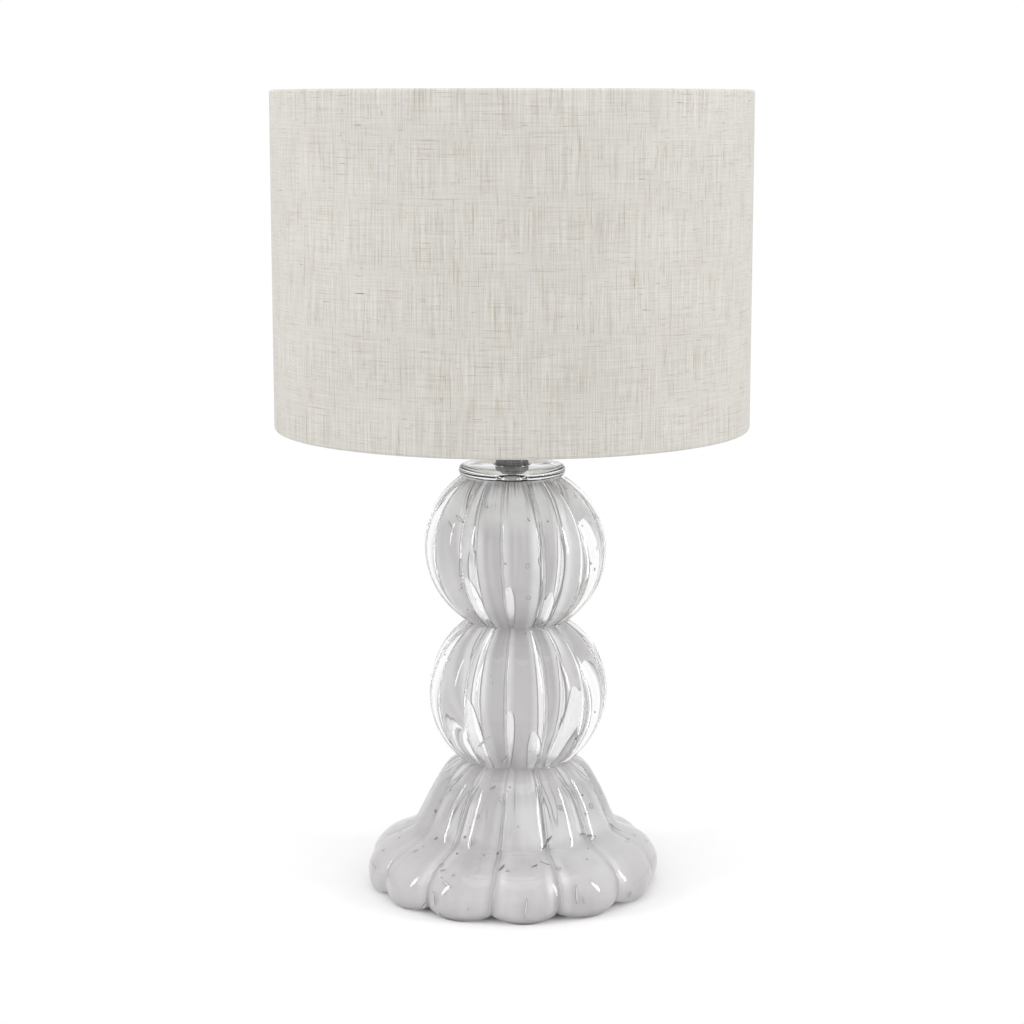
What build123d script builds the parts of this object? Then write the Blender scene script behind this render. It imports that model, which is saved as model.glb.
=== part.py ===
from build123d import *
import math
import os

# Table lamp: a ribbed blown-glass body of two balls over a flared skirt, under a drum shade.
# Millimetres, +Z up, front towards -Y. The origin lies on the table, under the shade's middle.
# One hollow threaded rod runs up through the glass, clamps it, and carries the lamp holder.

# ---- blown glass body ------------------------------------------------------------------------
skirt_height = 84.0             # table to the crease under the lower ball
lower_ball_height = 90.2        # crease to crease
upper_ball_height = 93.3        # crease to the ground top face
skirt_neck_radius = 36.5        # crease between skirt and lower ball
ball_neck_radius = 32.2         # crease between the balls
top_neck_radius = 32.6          # edge of the top face
lower_ball_radius = 58.0
upper_ball_radius = 58.7
belly_groove_depth = 3.2        # lobe crest to groove at a ball's belly
shoulder_radius = 56.5          # skirt, where the rounded shoulder ends
shoulder_height = 60.0
waist_radius = 67.0             # skirt, where the outline turns from shoulder to flare
waist_height = 38.0
flare_radius = 86.4             # skirt, where the flare meets the rolled hem
hem_radius = 94.7               # widest point of the rolled hem
hem_nose_height = 12.5          # height of that widest point
hem_thickness = 28.0            # height of the rolled hem
hem_foot_inset = 4.5            # how far the foot stands inside the hem's nose
waist_groove_depth = 5.0        # lobe crest to groove at the waist
hem_groove_depth = 8.5          # lobe crest to groove at the hem
glass_sway = 3.8                # sideways bow of the hand-blown body
skirt_wall = 6.0                # thinnest wall of the skirt, behind a groove
ball_wall = 28.0                # heavy wall of a ball: clear casing and milky layer together
neck_wall = 13.0                # from a crease to the end of the bubble beside it
bell_ledge_depth = 14.0         # from the skirt's crease down to the clamping ledge
bell_round = 8.0                # height over which the ledge turns into the bell's wall
ledge_margin = 6.0              # ledge beyond the gasket that bears on it
rod_passage_radius = 6.8        # hole through the necks
groove_azimuths = (-92.0, -64.0, -37.0, -8.5, 19.0, 48.0, 78.0, 108.0, 140.0, 171.0, 203.0, 236.0)
lobe_flat_count = 4             # flats that stand for the curve of one lobe
flatness = 1e-5                 # a patch's corners this close to a plane make one face
ball_levels = 9                 # loft steps along a ball
hollow_flat_count = 24          # flats round a hollow inside the glass
bubble_levels = 5

# ---- collar and neck spacer ------------------------------------------------------------------
collar_radius = 34.0
collar_thickness = 7.5
collar_edge_softening = 2.4     # height and depth of the rounded edge, above and below
collar_flat_count = 48
collar_recess_radius = 12.0
collar_recess_depth = 2.0
spacer_radius = 10.5
spacer_length = 19.0

# ---- rod and bottom clamp --------------------------------------------------------------------
rod_radius = 5.0                # M10 x 1
rod_bore_radius = 4.0
rod_clearance = 0.15
thread_fit = 0.02               # radial gap of a nut on its thread
foot_gasket_radius = 26.0
foot_gasket_thickness = 2.0
clamp_plate_radius = 24.0
clamp_plate_thickness = 3.0
washer_radius = 10.0
washer_thickness = 1.5
nut_width = 14.0                # across flats
foot_nut_height = 6.0
lock_nut_height = 4.0
rod_tail = 3.5                  # rod below the foot nut
bush_flange_radius = 6.4
bush_flange_thickness = 2.0
bush_bore_radius = 3.2
bush_spigot_length = 8.0

# ---- lamp holder, E27 ------------------------------------------------------------------------
boss_radius = 8.0
boss_height = 8.0
dome_rise = 12.0                # boss to the dome's shoulder
dome_wall = 1.8
dome_flat_count = 36
dome_rim_height = 6.0
grub_screw_radius = 1.5
holder_radius = 19.8            # outside of the threaded shell
holder_shell_wall = 2.0
holder_shell_height = 38.0
holder_lip_radius = 14.6
holder_lip_thickness = 2.5
flange_radius = 24.0
flange_thickness = 2.5
shell_fit = 0.05                # radial gap between dome rim and shell
block_plug_radius = 15.0
block_plug_depth = 8.0
block_flange_thickness = 6.0
socket_bore_radius = 13.2
socket_wall = 0.6
socket_height = 22.0
contact_strip_thickness = 0.6
contact_strip_width = 6.0
contact_rise = 2.6              # spring tongue above the block
terminal_offset = 8.5
terminal_screw_radius = 1.5
terminal_head_radius = 2.6
terminal_head_height = 1.6
terminal_screw_depth = 5.0

# ---- shade -----------------------------------------------------------------------------------
shade_radius = 150.0
shade_height = 210.0
fitter_drop = 15.5              # from the fitter ring's underside down to the shade's bottom edge
cloth_thickness = 0.6
liner_thickness = 0.4
wire_radius = 1.5
shade_flat_count = 60           # flats that stand for the curve of the cloth
turned_edge_height = 3.6        # cloth folded over a ring
fitter_inner_radius = 20.4
fitter_outer_radius = 28.0
fitter_thickness = 1.5
arm_count = 3
first_arm_angle = 90.0
arm_notch_clearance = 0.3
seat_gap = 0.1                  # between flat faces that turn on each other

# ---- shade ring nut --------------------------------------------------------------------------
shade_ring_radius = 28.0
shade_ring_height = 7.0
shade_ring_fit = 0.05
grip_count = 12
grip_radius = 2.8

# ---- bulb, 60 mm, E27 cap --------------------------------------------------------------------
bulb_tip_gap = 0.2
bulb_tip_radius = 4.8
bulb_tip_height = 1.2
insulator_height = 3.0
insulator_radius = 10.5
bulb_cap_fit = 0.1              # radial gap of the cap in the socket
bulb_cap_height = 20.0
bulb_cap_wall = 0.4
bulb_radius = 30.0
bulb_neck_height = 44.0         # cap to the globe's widest level
bulb_neck_straight = 6.0        # cap to where the neck starts to widen
bulb_dome_height = 32.0
bulb_wall = 1.0
bulb_flat_count = 30            # flats round the bulb
dome_levels = 5                 # steps that stand for the curve of the bulb's dome

# ---- heights that follow from the sizes above ------------------------------------------------
ball_crease = skirt_height + lower_ball_height
glass_top = ball_crease + upper_ball_height
bell_ledge = skirt_height - bell_ledge_depth
collar_top = glass_top + collar_thickness
collar_recess = collar_top - collar_recess_depth
spacer_bottom = collar_recess
spacer_top = spacer_bottom + spacer_length
boss_top = spacer_top + boss_height
dome_shoulder = boss_top + dome_rise
dome_floor = boss_top + dome_wall
dome_rim_top = dome_shoulder + dome_rim_height
block_top = dome_rim_top + block_flange_thickness
holder_top = dome_shoulder + holder_shell_height
fitter_bottom = dome_shoulder + flange_thickness + seat_gap
fitter_top = fitter_bottom + fitter_thickness
shade_bottom = fitter_bottom - fitter_drop
shade_top = shade_bottom + shade_height
shade_ring_bottom = fitter_top + seat_gap
clamp_plate_top = bell_ledge - foot_gasket_thickness
washer_top = clamp_plate_top - clamp_plate_thickness
foot_nut_top = washer_top - washer_thickness
rod_bottom = foot_nut_top - foot_nut_height - rod_tail
rod_top = dome_floor + lock_nut_height + 1.0
contact_top = block_top + contact_strip_thickness + contact_rise
bulb_bottom = contact_top + bulb_tip_gap
insulator_bottom = bulb_bottom + bulb_tip_height
bulb_cap_bottom = insulator_bottom + insulator_height
bulb_cap_top = bulb_cap_bottom + bulb_cap_height
bulb_cap_radius = socket_bore_radius - bulb_cap_fit
ring_wire_radius = shade_radius - cloth_thickness - liner_thickness - wire_radius


def tube(outer_radius, bore_radius, bottom, top):
    """A plain ring or tube about the lamp's axis."""
    section = Circle(outer_radius) - Circle(bore_radius)
    return extrude(Plane.XY.offset(bottom) * section, amount=top - bottom)


def disc(radius, bottom, top):
    return extrude(Plane.XY.offset(bottom) * Circle(radius), amount=top - bottom)


def turned(*points):
    """A solid turned about the lamp's axis from (radius, height) corners."""
    outline = Polyline(*points, close=True)
    return revolve(Plane.XZ * make_face(outline), axis=Axis.Z)


def flat_patch(a, b, c, d):
    """One face where the four corners lie in a plane, otherwise two triangles."""
    normal = (Vector(*b) - Vector(*a)).cross(Vector(*c) - Vector(*a)).normalized()
    if abs(normal.dot(Vector(*d) - Vector(*a))) < flatness:
        return [make_face(Polyline(a, b, c, d, close=True))]
    return [make_face(Polyline(a, b, c, close=True)), make_face(Polyline(a, c, d, close=True))]


def flat_skin(rings):
    """A closed solid of flat faces over level rings of corners."""
    faces = [make_face(Polyline(*ring, close=True)) for ring in (rings[0], rings[-1])]
    for lower, upper in zip(rings, rings[1:]):
        for index in range(len(lower)):
            after = (index + 1) % len(lower)
            faces += flat_patch(lower[index], lower[after], upper[after], upper[index])
    return Solid(Shell(faces))


def ring_corners(flats, radius, height, centre=0.0):
    turns = [2 * math.pi * index / flats for index in range(flats)]
    return [(centre + radius * math.cos(turn), radius * math.sin(turn), height) for turn in turns]


def flat_sided(flats, *levels):
    """A round form in flats, straight between its (radius, height) levels."""
    return flat_skin([ring_corners(flats, radius, height) for radius, height in levels])


def hex_nut(width, bore_radius, bottom, top):
    section = RegularPolygon(width / 2, 6, major_radius=False) - Circle(bore_radius)
    return extrude(Plane.XY.offset(bottom) * section, amount=top - bottom)


# ---- glass -----------------------------------------------------------------------------------
def sway(height):
    """How far the body's centre lies towards +X: a gentle bow that ends straight."""
    return glass_sway * math.sin(math.pi * height / glass_top)


def lobed_ring(height, crest_radius, groove_depth):
    """One level of the body: lobes that bulge between sharp grooves, in short flats."""
    ends = groove_azimuths[1:] + (groove_azimuths[0] + 360.0,)
    corners = []
    for start, end in zip(groove_azimuths, ends):
        for step in range(lobe_flat_count):
            across = step / lobe_flat_count
            radius = crest_radius - groove_depth * (2 * across - 1) ** 2
            azimuth = math.radians(start + (end - start) * across)
            side = sway(height) + radius * math.sin(azimuth)
            corners.append((side, -radius * math.cos(azimuth), height))
    return corners


def ball_groove(radius):
    """Grooves grow shallower towards the necks, and agree where two lofts meet."""
    return belly_groove_depth * radius / lower_ball_radius


def ribbed_ball(bottom, top, belly_radius, bottom_radius, top_radius):
    """An ellipse of revolution with lobes, cut by the two necks that it ends in."""
    low = -math.acos(bottom_radius / belly_radius)
    high = math.acos(top_radius / belly_radius)
    half_height = (top - bottom) / (math.sin(high) - math.sin(low))
    centre = bottom - half_height * math.sin(low)
    levels = []
    for step in range(ball_levels + 1):
        turn = low + (high - low) * step / ball_levels
        radius = belly_radius * math.cos(turn)
        levels.append(lobed_ring(centre + half_height * math.sin(turn), radius, ball_groove(radius)))
    return flat_skin(levels)


def skirt_outline():
    """Height, crest radius and groove depth down the skirt, from its neck to the table."""
    neck_groove_depth = ball_groove(skirt_neck_radius)
    rounding_height = skirt_height * 2 / 3 + shoulder_height / 3
    return (
        (skirt_height, skirt_neck_radius, neck_groove_depth),
        (rounding_height, (skirt_neck_radius + shoulder_radius) / 2, neck_groove_depth),
        (shoulder_height, shoulder_radius, (neck_groove_depth + waist_groove_depth) / 2),
        (waist_height, waist_radius, waist_groove_depth),
        (hem_thickness, flare_radius, (waist_groove_depth + hem_groove_depth) / 2),
        ((hem_thickness + hem_nose_height) / 2, (flare_radius + 3 * hem_radius) / 4, hem_groove_depth),
        (hem_nose_height, hem_radius, hem_groove_depth),
        (hem_nose_height / 3, hem_radius - hem_foot_inset / 3, hem_groove_depth),
        (0.0, hem_radius - hem_foot_inset, hem_groove_depth),
    )


def skirt():
    return flat_skin([lobed_ring(*level) for level in reversed(skirt_outline())])


def hollow(*levels):
    """A smooth hollow that follows the body's bow."""
    rings = [ring_corners(hollow_flat_count, radius, height, sway(height)) for radius, height in levels]
    return flat_skin(rings)


def bell_hollow():
    """The open underside: the skirt's outline less its grooves and wall, up to a flat ledge."""
    inner = [(crest - groove - skirt_wall, height) for height, crest, groove in skirt_outline()]
    wall = [level for level in inner if level[1] < bell_ledge - bell_round]
    return hollow((foot_gasket_radius + ledge_margin, bell_ledge), *wall)


def bubble(bottom, top, belly_radius):
    """The hollow inside a ball: an ellipse of revolution with flat poles."""
    radius = belly_radius - ball_wall
    half_height = (top - bottom) / 2 - neck_wall
    centre = (bottom + top) / 2
    pole = math.acos((rod_passage_radius + 2.0) / radius)
    turns = [pole * (2 * step / bubble_levels - 1) for step in range(bubble_levels + 1)]
    return hollow(*[(radius * math.cos(turn), centre + half_height * math.sin(turn)) for turn in turns])


def glass_body():
    body = ribbed_ball(ball_crease, glass_top, upper_ball_radius, ball_neck_radius, top_neck_radius)
    body += ribbed_ball(skirt_height, ball_crease, lower_ball_radius, skirt_neck_radius, ball_neck_radius)
    body += skirt()
    body -= bubble(ball_crease, glass_top, upper_ball_radius)
    body -= bubble(skirt_height, ball_crease, lower_ball_radius)
    body -= bell_hollow()
    body -= disc(rod_passage_radius, bell_ledge - 1.0, glass_top + 1.0)
    return body


def glass_collar():
    """Clear disc with a softened edge and a shallow recess for the metal neck."""
    soft = collar_edge_softening
    rim = (
        (collar_radius - soft, glass_top),
        (collar_radius - 0.3 * soft, glass_top + 0.3 * soft),
        (collar_radius, glass_top + soft),
        (collar_radius, collar_top - soft),
        (collar_radius - 0.3 * soft, collar_top - 0.3 * soft),
        (collar_radius - soft, collar_top),
    )
    collar = flat_sided(collar_flat_count, *rim) - disc(collar_recess_radius, collar_recess, collar_top)
    return collar - disc(rod_passage_radius, glass_top, collar_top)


def glass_parts():
    return {
        "glass_body": glass_body(),
        "glass_collar": glass_collar(),
    }


# ---- rod and bottom clamp --------------------------------------------------------------------
def cord_bush():
    """Plastic bush in the rod's lower end, where a lead enters."""
    flange_bottom = rod_bottom - bush_flange_thickness
    spigot_top = rod_bottom + bush_spigot_length
    spigot = tube(rod_bore_radius - thread_fit, bush_bore_radius, rod_bottom, spigot_top)
    return tube(bush_flange_radius, bush_bore_radius, flange_bottom, rod_bottom) + spigot


def rod_parts():
    nut_bore = rod_radius + thread_fit
    plate_bore = rod_radius + rod_clearance
    return {
        "threaded_rod": tube(rod_radius, rod_bore_radius, rod_bottom, rod_top),
        "foot_gasket": tube(foot_gasket_radius, plate_bore, clamp_plate_top, bell_ledge),
        "clamp_plate": tube(clamp_plate_radius, plate_bore, washer_top, clamp_plate_top),
        "foot_washer": tube(washer_radius, plate_bore, foot_nut_top, washer_top),
        "foot_nut": hex_nut(nut_width, nut_bore, foot_nut_top - foot_nut_height, foot_nut_top),
        "cord_bush": cord_bush(),
        "neck_spacer": tube(spacer_radius, plate_bore, spacer_bottom, spacer_top),
    }


# ---- lamp holder -----------------------------------------------------------------------------
def grub_screw():
    """Small screw through the boss that stops the holder turning on its rod."""
    length = boss_radius - rod_radius
    middle = (spacer_top + boss_top) / 2
    return Pos(0, rod_radius + length / 2, middle) * Rot(90, 0, 0) * Cylinder(grub_screw_radius, length)


def holder_dome():
    """Boss on the rod, opening into a cup whose rim carries the insert and the shell."""
    rim_radius = holder_radius - holder_shell_wall - shell_fit
    cup_radius = rim_radius - dome_wall
    wide = 0.6 * dome_rise
    cup = ((boss_radius, boss_top), (holder_radius, boss_top + wide), (holder_radius, dome_shoulder))
    cavity = (
        (boss_radius + dome_wall, dome_floor),
        (cup_radius, dome_floor + wide),
        (cup_radius, dome_rim_top),
    )
    dome = disc(boss_radius, spacer_top, boss_top) + flat_sided(dome_flat_count, *cup)
    dome += disc(rim_radius, dome_shoulder, dome_rim_top)
    dome -= flat_sided(dome_flat_count, *cavity)
    dome -= disc(rod_radius + thread_fit, spacer_top, dome_rim_top)
    return dome - grub_screw()


def contact_block():
    """Ceramic insert that carries the contacts: a plug in the dome and a flange on its rim."""
    rim_radius = holder_radius - holder_shell_wall - shell_fit
    block = disc(block_plug_radius, dome_rim_top - block_plug_depth, dome_rim_top)
    block += disc(rim_radius, dome_rim_top, block_top)
    for side in (-1, 1):
        hole = disc(terminal_screw_radius, block_top - terminal_screw_depth, block_top)
        block -= Pos(side * terminal_offset, 0, 0) * hole
    return block


def terminal_screw(side):
    head_bottom = block_top + contact_strip_thickness
    screw = disc(terminal_screw_radius, block_top - terminal_screw_depth, head_bottom)
    screw += disc(terminal_head_radius, head_bottom, head_bottom + terminal_head_height)
    return Pos(side * terminal_offset, 0, 0) * screw


def contact_strip(*points):
    """A brass strip bent along (x, height) points, with the hole of its terminal screw."""
    upper = [(x, z + contact_strip_thickness) for x, z in reversed(points)]
    side = make_face(Polyline(*points, *upper, close=True))
    strip = extrude(Plane.XZ * side, amount=contact_strip_width / 2, both=True)
    screw_x = math.copysign(terminal_offset, points[0][0])
    return strip - Pos(screw_x, 0, 0) * disc(terminal_screw_radius, block_top - 1.0, contact_top)


def centre_contact():
    """Spring tongue that rises from its terminal to the middle of the socket."""
    return contact_strip(
        (-terminal_offset - 3.0, block_top),
        (-terminal_offset + 3.2, block_top),
        (-2.5, block_top + contact_rise),
        (2.5, block_top + contact_rise),
    )


def side_contact():
    reach = math.sqrt(socket_bore_radius ** 2 - (contact_strip_width / 2) ** 2) - 0.05
    return contact_strip((reach, block_top), (terminal_offset - 3.0, block_top))


def holder_shell():
    """Threaded shell: flange under the shade, wall round the socket, lip at the mouth."""
    inner = holder_radius - holder_shell_wall
    return turned(
        (inner, dome_shoulder),
        (flange_radius, dome_shoulder),
        (flange_radius, dome_shoulder + flange_thickness),
        (holder_radius, dome_shoulder + flange_thickness),
        (holder_radius, holder_top),
        (holder_lip_radius, holder_top),
        (holder_lip_radius, holder_top - holder_lip_thickness),
        (inner, holder_top - holder_lip_thickness),
    )


def holder_lock_nut():
    return hex_nut(nut_width, rod_radius + thread_fit, dome_floor, dome_floor + lock_nut_height)


def holder_parts():
    socket_outer = socket_bore_radius + socket_wall
    return {
        "holder_dome": holder_dome(),
        "holder_grub_screw": grub_screw(),
        "holder_lock_nut": holder_lock_nut(),
        "contact_block": contact_block(),
        "centre_contact": centre_contact(),
        "side_contact": side_contact(),
        "terminal_screws": Compound(children=[terminal_screw(-1), terminal_screw(1)]),
        "screw_socket": tube(socket_outer, socket_bore_radius, block_top, block_top + socket_height),
        "holder_shell": holder_shell(),
    }


# ---- shade -----------------------------------------------------------------------------------
def drum(outer_radius, inner_radius, bottom, top):
    """A wide ring in flats, with a corner over each arm."""
    outer = RegularPolygon(outer_radius, shade_flat_count)
    section = outer - RegularPolygon(inner_radius, shade_flat_count)
    return extrude(Plane.XY.offset(bottom) * section, amount=top - bottom)


def wire_ring(height):
    """Wire hoop that holds the cloth round; four flats stand for its round wire."""
    ends = (ring_wire_radius, height - wire_radius), (ring_wire_radius, height + wire_radius)
    outside = flat_sided(shade_flat_count, ends[0], (ring_wire_radius + wire_radius, height), ends[1])
    inside = flat_sided(shade_flat_count, ends[0], (ring_wire_radius - wire_radius, height), ends[1])
    return outside - inside


def top_wire_height():
    return shade_top - cloth_thickness - wire_radius


def bottom_wire_height():
    return shade_bottom + cloth_thickness + wire_radius


def arm(angle, radius):
    """Straight spoke from the fitter ring down to the bottom hoop."""
    inner = Vector(fitter_outer_radius - 2.0, 0, (fitter_bottom + fitter_top) / 2)
    outer = Vector(ring_wire_radius, 0, bottom_wire_height())
    run = outer - inner
    standing = (Align.CENTER, Align.CENTER, Align.MIN)
    spoke = Plane(origin=inner, z_dir=run) * Cylinder(radius, run.length, align=standing)
    return Rot(0, 0, angle) * spoke


def arm_angles():
    return [first_arm_angle + 360.0 * index / arm_count for index in range(arm_count)]


def shade_arms():
    """The spokes, each cut to butt against the fitter ring and the hoop it is welded to."""
    reach = 3 * wire_radius
    hub = disc(fitter_outer_radius, fitter_bottom - reach, fitter_top + reach)
    wire = bottom_wire_height()
    hoop = drum(shade_radius, ring_wire_radius - wire_radius, wire - reach, wire + reach)
    return Compound(children=[arm(angle, wire_radius) - hub - hoop for angle in arm_angles()])


def arm_notches():
    return [arm(angle, wire_radius + arm_notch_clearance) for angle in arm_angles()]


def shade_cloth():
    """Outer cloth with both edges turned in over the hoops."""
    fold_outer = ring_wire_radius - wire_radius
    fold_inner = fold_outer - cloth_thickness
    cloth = drum(shade_radius, fold_inner, shade_bottom, shade_top)
    cloth_bottom, cloth_top = shade_bottom + cloth_thickness, shade_top - cloth_thickness
    cloth -= drum(shade_radius - cloth_thickness, fold_outer, cloth_bottom, cloth_top)
    fold_bottom, fold_top = shade_bottom + turned_edge_height, shade_top - turned_edge_height
    cloth -= drum(fold_outer, 0.9 * fold_inner, fold_bottom, fold_top)
    for notch in arm_notches():
        cloth -= notch
    return cloth


def shade_liner():
    """Stiff backing sheet behind the cloth."""
    outer = shade_radius - cloth_thickness
    bottom, top = shade_bottom + cloth_thickness, shade_top - cloth_thickness
    return drum(outer, outer - liner_thickness, bottom, top)


def shade_parts():
    return {
        "shade_cloth": shade_cloth(),
        "shade_liner": shade_liner(),
        "shade_top_wire": wire_ring(top_wire_height()),
        "shade_bottom_wire": wire_ring(bottom_wire_height()),
        "shade_arms": shade_arms(),
        "shade_fitter": tube(fitter_outer_radius, fitter_inner_radius, fitter_bottom, fitter_top),
    }


def shade_ring():
    """Ring nut that clamps the fitter to the holder's flange, with finger grips round it."""
    top = shade_ring_bottom + shade_ring_height
    ring = tube(shade_ring_radius, holder_radius + shade_ring_fit, shade_ring_bottom, top)
    for index in range(grip_count):
        notch = disc(grip_radius, shade_ring_bottom - 1.0, top + 1.0)
        notch = Pos(shade_ring_radius + 0.45 * grip_radius, 0, 0) * notch
        ring -= Rot(0, 0, 360.0 * index / grip_count) * notch
    return ring


# ---- bulb ------------------------------------------------------------------------------------
def bulb_envelope(inset):
    """Neck and dome of the bulb, drawn in by the inset."""
    middle = bulb_cap_top + bulb_neck_height
    neck = bulb_cap_radius - bulb_cap_wall - inset
    widest = bulb_radius - inset
    levels = [
        (neck, bulb_cap_top),
        (neck, bulb_cap_top + bulb_neck_straight),
        (0.9 * widest, middle - 0.4 * bulb_neck_height),
    ]
    for step in range(dome_levels + 1):
        turn = 0.46 * math.pi * step / dome_levels
        levels.append((widest * math.cos(turn), middle + (bulb_dome_height - inset) * math.sin(turn)))
    return flat_sided(bulb_flat_count, *levels)


def bulb_globe():
    """Opal envelope, closed at the top and open into its cap."""
    return bulb_envelope(0.0) - bulb_envelope(bulb_wall)


def bulb_insulator():
    return turned(
        (0.0, insulator_bottom),
        (bulb_tip_radius, insulator_bottom),
        (insulator_radius, bulb_cap_bottom),
        (0.0, bulb_cap_bottom),
    )


def bulb_parts():
    return {
        "bulb_contact": disc(bulb_tip_radius, bulb_bottom, insulator_bottom),
        "bulb_insulator": bulb_insulator(),
        "bulb_cap": tube(bulb_cap_radius, bulb_cap_radius - bulb_cap_wall, bulb_cap_bottom, bulb_cap_top),
        "bulb_globe": bulb_globe(),
    }


def build_lamp():
    parts = {}
    parts.update(glass_parts())
    parts.update(rod_parts())
    parts.update(holder_parts())
    parts.update(shade_parts())
    parts["shade_ring"] = shade_ring()
    parts.update(bulb_parts())
    return parts


os.makedirs("parts", exist_ok=True)
for node, solid in build_lamp().items():
    export_step(solid, f"parts/{node}.step")
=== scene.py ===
import math

import bmesh
import bpy
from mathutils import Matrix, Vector


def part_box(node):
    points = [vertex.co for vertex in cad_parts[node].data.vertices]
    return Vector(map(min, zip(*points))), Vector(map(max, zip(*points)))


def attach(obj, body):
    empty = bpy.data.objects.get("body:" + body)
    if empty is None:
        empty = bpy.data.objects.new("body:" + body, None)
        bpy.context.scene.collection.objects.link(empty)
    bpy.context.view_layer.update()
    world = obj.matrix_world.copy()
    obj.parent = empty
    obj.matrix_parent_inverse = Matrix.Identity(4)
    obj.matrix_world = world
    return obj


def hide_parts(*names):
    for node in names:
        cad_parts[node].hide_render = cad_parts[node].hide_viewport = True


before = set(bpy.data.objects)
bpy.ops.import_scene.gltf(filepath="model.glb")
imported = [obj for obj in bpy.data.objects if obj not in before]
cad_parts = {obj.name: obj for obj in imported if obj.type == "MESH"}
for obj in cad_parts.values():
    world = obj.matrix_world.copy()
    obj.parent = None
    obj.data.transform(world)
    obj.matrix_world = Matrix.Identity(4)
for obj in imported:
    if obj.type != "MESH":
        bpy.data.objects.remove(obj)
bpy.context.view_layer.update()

# Table lamp: a heavy ribbed glass body, clear over a milky core, under a straight linen drum.
# Metres, +Z up, the front towards -Y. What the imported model's boxes hold is read from them.

MM = 0.001

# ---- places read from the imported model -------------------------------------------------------
collar_low, collar_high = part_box("glass_collar")
shade_low, shade_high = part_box("shade_cloth")
bulb_low, bulb_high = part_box("bulb_globe")
glass_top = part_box("glass_body")[1].z
shade_radius = shade_high.x

# ---- blown glass: the body's outline ---------------------------------------------------------
skirt_crease = 84.0 * MM
ball_crease = 174.2 * MM
lower_ball_radius = 58.0 * MM
upper_ball_radius = 58.7 * MM
skirt_neck_radius = 36.5 * MM
ball_neck_radius = 32.2 * MM
top_neck_radius = 32.6 * MM
body_sway = 3.8 * MM            # how far the body leans out of line at half its height
belly_groove = 3.2 * MM         # depth of a groove at a ball's widest
bell_ledge = 70.0 * MM
rod_passage = 6.8 * MM
skirt_levels = (                # height, crest radius and groove depth, in millimetres
    (84.0, 36.5, 2.0),
    (79.5, 44.0, 2.0),
    (73.0, 49.2, 2.4),
    (60.0, 56.5, 3.5),
    (47.0, 62.6, 4.2),
    (38.0, 67.5, 5.0),
    (33.0, 76.2, 5.8),
    (28.0, 86.2, 6.8),
    (20.2, 92.7, 8.2),
    (12.5, 94.7, 8.5),
    (4.2, 93.2, 8.5),
    (0.0, 90.2, 8.5),
)
bell_levels = (                 # height and radius up the open bell, in millimetres
    (0.0, 75.2),
    (4.2, 78.7),
    (12.5, 80.2),
    (20.2, 78.4),
    (28.0, 73.0),
    (38.0, 56.5),
    (60.0, 46.0),
    (67.0, 40.0),
    (70.0, 32.0),
    (70.0, 20.0),
)
core_levels = (                 # height, crest radius and groove depth of the milky core, in millimetres
    (266.3, 9.0, 0.0),
    (266.3, 17.0, 0.2),
    (263.0, 21.5, 0.3),
    (252.0, 28.5, 0.6),
    (238.0, 33.2, 0.9),
    (221.0, 35.2, 1.0),
    (204.0, 32.6, 0.9),
    (190.0, 26.5, 0.6),
    (179.0, 19.0, 0.3),
    (173.5, 18.5, 0.3),
    (166.0, 22.0, 0.4),
    (152.0, 30.4, 0.8),
    (131.0, 34.8, 1.0),
    (113.0, 32.2, 0.9),
    (98.0, 25.5, 0.6),
    (89.0, 20.5, 0.4),
    (83.0, 22.0, 0.5),
    (75.0, 32.0, 1.2),
    (62.0, 44.5, 2.4),
    (50.0, 52.5, 3.4),
    (40.0, 59.0, 4.4),
    (34.0, 68.0, 5.2),
    (28.0, 78.5, 6.2),
    (20.0, 86.5, 7.6),
    (12.5, 89.0, 8.0),
    (5.0, 88.0, 8.0),
    (2.0, 86.0, 8.0),
)
core_bell_levels = (            # height and radius up the core's own bell, a little wider than the clear one
    (2.0, 77.5),
    (5.0, 80.0),
    (12.5, 81.6),
    (20.2, 79.8),
    (28.0, 74.4),
    (38.0, 57.9),
    (60.0, 47.4),
    (66.0, 42.0),
    (71.0, 34.0),
    (71.4, 20.0),
    (71.4, 9.0),
)

# ---- lobes and grooves -----------------------------------------------------------------------
groove_azimuths = (-92.0, -64.0, -37.0, -8.5, 19.0, 48.0, 78.0, 108.0, 140.0, 171.0, 203.0, 236.0)
half_lobe = (0.0, 0.012, 0.026, 0.042, 0.062, 0.09, 0.13, 0.18, 0.25, 0.33, 0.41, 0.5)
lobe_steps = half_lobe + tuple(1.0 - step for step in half_lobe[-2:0:-1])
columns = len(lobe_steps) * len(groove_azimuths)
lobe_fullness = 2.2             # a higher power is flatter over the lobe and steeper into the groove
notch_width = 0.03              # of a lobe
notch_depth = 0.9 * MM
scallop_lift = 4.4 * MM         # the hem's edge, lifted between two lobes
scallop_height = 14.0 * MM
groove_softening = 0.52         # share of its depth that a groove loses towards the hem
softening_top = 60.0 * MM
softening_span = 35.0 * MM

# ---- marks in the milky layer, by heights in metres -------------------------------------------
hem_fade = (0.012, 0.045)       # a fade runs from its first height to its second
line_fade = (0.03, 0.05)
patch_foot_fade = (0.01, 0.03)
patch_top_fade = (0.06, 0.08)
collar_streak_fade = (0.24, 0.26)
throat = (0.05, 0.084)          # a band lies between its two heights
shoulder = (0.238, 0.258)
leaves = (                      # foot and tallest in metres, half width and lean in lobes
    (0.096, 0.078, 0.09, 0.0),
    (0.186, 0.078, 0.10, 0.0),
    (0.086, 0.048, 0.16, 0.12),
    (0.176, 0.048, 0.18, 0.12),
)


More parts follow.
